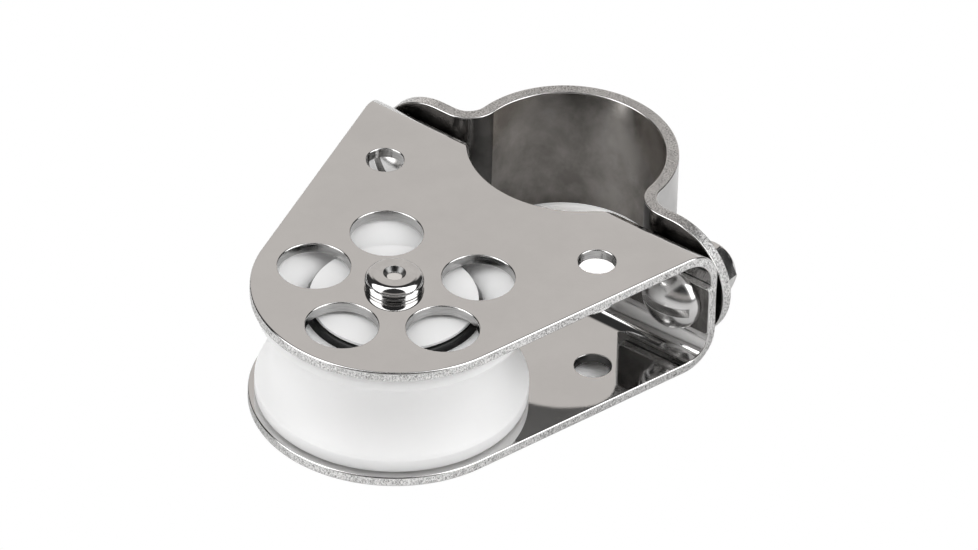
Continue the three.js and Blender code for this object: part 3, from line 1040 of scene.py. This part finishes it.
TABLE_M = 3.0  # half the table's side, in metres
TABLE_GAP = 0.15  # below the pin's lower head
FLOOR_EXPOSURE = 2.0  # the diffuse colour, twice white, that the camera sees on the table under the part: painted light that lifts the shade there
SHADE_X, SHADE_Y, SHADE_RADIUS = -6, -2, 19  # the middle and radius of the disc under the part that is painted as shade


def make_floor():
    """A plain white table. The roller lies on its lower pin head and the strap's lower edge.

    The camera sees it evenly lit, as an overexposed table looks, except in a disc under the part,
    where it sees the shading with a diffuse colour of twice white: painted light that lifts the shade.
    The steel mirrors its shading everywhere, and in that disc a colour of 0.35 against 0.8: painted
    shade.
    """
    pin_low, _ = box_mm("axle_pin")
    lean = math.atan2(STRAP_LOW.z - pin_low.z, STRAP_HIGH.x - SHEAVE_X)
    material, n = new_material("table")
    cloud = n.noise(n.place(), 0.01, 2)
    from_part = n.add("ShaderNodeVectorMath", {
        0: n.place(), 1: (SHADE_X - SHEAVE_X, SHADE_Y, 0)}, operation="DISTANCE").outputs["Value"]
    outside_painted_shade = n.spread(from_part, 0, 1, SHADE_RADIUS - 1, SHADE_RADIUS + 1)
    # Inside the disc the table's colour drops from 0.8 to 0.35: painted shade, which the steel
    # mirrors.
    colour = n.colours(outside_painted_shade, [(0, grey(0.35)), (1, grey(0.8))])
    mirrored, surface = n.finish(colour, n.spread(cloud, 0.6, 0.7), n.bump(cloud, 0.02, 0.1))
    # Inside the disc the camera sees a diffuse colour of twice white: painted light over the shade.
    shade = n.add("ShaderNodeBsdfDiffuse", {"Color": (*grey(FLOOR_EXPOSURE), 1)}).outputs["BSDF"]
    white = n.add("ShaderNodeEmission").outputs["Emission"]
    seen = n.add("ShaderNodeMixShader", {0: outside_painted_shade, 1: shade, 2: white}).outputs["Shader"]
    by_camera = n.add("ShaderNodeLightPath").outputs["Is Camera Ray"]
    both = n.add("ShaderNodeMixShader", {0: by_camera, 1: mirrored, 2: seen}).outputs["Shader"]
    n.tree.links.new(both, surface)
    mesh = bpy.data.meshes.new("table")
    corners = ((-1, -1), (1, -1), (1, 1), (-1, 1))
    mesh.from_pydata([(x * TABLE_M, y * TABLE_M, 0) for x, y in corners], [], [(0, 1, 2, 3)])
    mesh.materials.append(material)
    floor = bpy.data.objects.new("table", mesh)
    floor.location = (SHEAVE_X * MM, 0, (pin_low.z - TABLE_GAP) * MM)
    floor.rotation_euler = (0, -lean, 0)
    bpy.context.scene.collection.objects.link(floor)


ROOM = 0.05  # the dark surround
# Each edge below is an angle in degrees and the half-width of its soft border.
SOFTBOX = 3.05  # two tall softboxes, left and right of the camera, that lean over the table
SOFTBOX_TILT = 43.5
SOFTBOX_REACH = (77, 4)  # from the point above the camera that they are hung round
SOFTBOX_BACK = (100, 3)  # how far back over the table they reach, from the camera's side
SOFTBOX_FOOT = (8, 2)  # their lower edges' elevation
GAP = (41, 4)  # the dark gap between them, to each side of the camera
GAP_TOP = 0.12  # half the gap's width where it passes overhead
CARD = 0.637  # the warm grey card behind, which the upper cheek mirrors
CARD_COLOUR = (1.05, 1.0, 0.96)
CARD_WIDTH = (36, 5)  # to each side
CARD_TOP = (43, 5)  # its upper edge's elevation
FILL = 0.35  # a low grey card in the gap, under the camera
FILL_WIDTH = (46, 6)
FILL_TOP = (26, 4)


def make_sky():
    """The studio: dark, with broad lights as smooth functions of the direction looked in."""
    world = bpy.data.worlds.new("studio")
    bpy.context.scene.world = world
    world.use_nodes = True
    n = Nodes(world.node_tree)
    towards = n.add("ShaderNodeTexCoord").outputs["Generated"]
    height = n.add("ShaderNodeSeparateXYZ", {"Vector": towards}).outputs["Z"]

    def bearing(lean=0.0):
        """The level part of the direction, of unit length; lean first adds a push to the camera."""
        level = n.add("ShaderNodeVectorMath", {
            0: towards, 1: (1, 1, 0), 2: direction(CAMERA_AZIMUTH, 0) * lean},
            operation="MULTIPLY_ADD").outputs["Vector"]
        return n.add("ShaderNodeVectorMath", {0: level}, operation="NORMALIZE").outputs["Vector"]

    def step(value, start, end):
        """Rises smoothly from 0 at start to 1 at end."""
        return n.spread(value, 0, 1, start, end, interpolation_type="SMOOTHSTEP")

    def times(a, b):
        return n.add("ShaderNodeMath", {0: a, 1: b}, operation="MULTIPLY").outputs["Value"]

    def along(vector, towards_it):
        """The cosine of the angle between two directions."""
        return n.add("ShaderNodeVectorMath", {0: vector, 1: towards_it},
                     operation="DOT_PRODUCT").outputs["Value"]

    def lit(mask, colour, strength):
        """A light of one colour whose strength follows the mask."""
        return n.add("ShaderNodeBackground", {
            "Color": (*colour, 1), "Strength": times(mask, strength)}).outputs["Background"]

    def together(a, b):
        return n.add("ShaderNodeAddShader", {0: a, 1: b}).outputs["Shader"]

    def cosines(degrees, soft):
        """Where a step on a cosine starts and ends, for an edge so many degrees away."""
        return tuple(math.cos(math.radians(degrees + way * soft)) for way in (1, -1))

    def rises(degrees, soft):
        """The same for an elevation and its sine."""
        return tuple(math.sin(math.radians(degrees + way * soft)) for way in (-1, 1))

    sideways = along(bearing(GAP_TOP), direction(CAMERA_AZIMUTH, 0))
    gap = step(sideways, *reversed(cosines(*GAP)))
    spread = step(along(towards, direction(CAMERA_AZIMUTH, SOFTBOX_TILT)), *cosines(*SOFTBOX_REACH))
    in_front = step(along(towards, direction(CAMERA_AZIMUTH, 0)), *cosines(*SOFTBOX_BACK))
    above_foot = step(height, *rises(*SOFTBOX_FOOT))
    softboxes = times(times(times(gap, spread), in_front), above_foot)
    behind = along(bearing(), direction(CAMERA_AZIMUTH + 180, 0))
    card = times(step(behind, *cosines(*CARD_WIDTH)), step(height, *reversed(rises(*CARD_TOP))))
    low = times(above_foot, step(height, *reversed(rises(*FILL_TOP))))
    fill = times(step(sideways, *cosines(*FILL_WIDTH)), low)
    room = n.add("ShaderNodeBackground", {"Strength": ROOM}).outputs["Background"]
    cards = together(lit(card, CARD_COLOUR, CARD), lit(fill, CARD_COLOUR, FILL))
    sky = together(together(lit(softboxes, (1, 1, 1), SOFTBOX), cards), room)
    n.add("ShaderNodeOutputWorld", {"Surface": sky})


# ---- assembly ----

def build():
    """Makes every piece, each in the place of its CAD node."""
    faces = polished_sheet()
    rim = rolled_rim()
    edges = cut_edge()
    walls = hole_wall()
    band = strap_steel("strap_steel", grey(0.52, WARMTH), grey(0.66, WARMTH), 0.08)
    lining = strap_steel("strap_lining", grey(0.4, 0.06), grey(0.8, 0.05), 0.12)
    # near-black steel for the necks' and ears' insides and the backing plates: painted shade between
    # the parts
    painted_shade = strap_steel("painted_shade_steel", grey(0.1, 0.03), grey(0.26, 0.03), 0.14)
    bright = fitting_steel("fitting_steel", 0.05)
    make_frame((faces, rim, edges, walls))
    make_strap((band, rim, edges, lining, painted_shade))
    nylon = plastic("nylon", 0.74, 0.5, grain_strength=0.1, warmth=0.01, turned=False)
    for side in SIDES:
        # the backing plates' faces take the near-black steel, which is painted shade
        make_plate(side, (painted_shade, rim, edges))
        make_screw(side, (fitting_steel("screw_steel", 0.17),))
        make_washer(side, (bright,))
        make_nut(side, (bright,))
        make_insert(side, (nylon,))
    make_sheave((plastic("white_acetal", 0.97, 0.4, glow=0.8),))
    disc = plastic("white_disc", 0.86, 0.34)
    for node in ("hub_disc_top", "hub_disc_bottom"):
        make_ring(node, "frame", DISC_BORE, 0.1, (disc,))
    make_ring("bearing_race", "wheel", RACE_BORE, 0.3,
              (plastic("black_acetal", 0.012, 0.5),))
    make_ring("bearing_sleeve", "frame", SLEEVE_BORE, 0.2, (sleeve_steel(),), 96)
    # the pin's dimple: a near-black cone, painted shade, and a near-white floor, a painted highlight
    make_pin((bright, fitting_steel("dimple_painted_shade", 0.24, 0.08, 0.22),
              fitting_steel("dimple_painted_highlight", 0.1, 0.92, 0.99)))


make_camera()
make_floor()
make_sky()
build()
bpy.context.scene.view_settings.view_transform = "Standard"
bpy.context.scene.view_settings.look = "None"
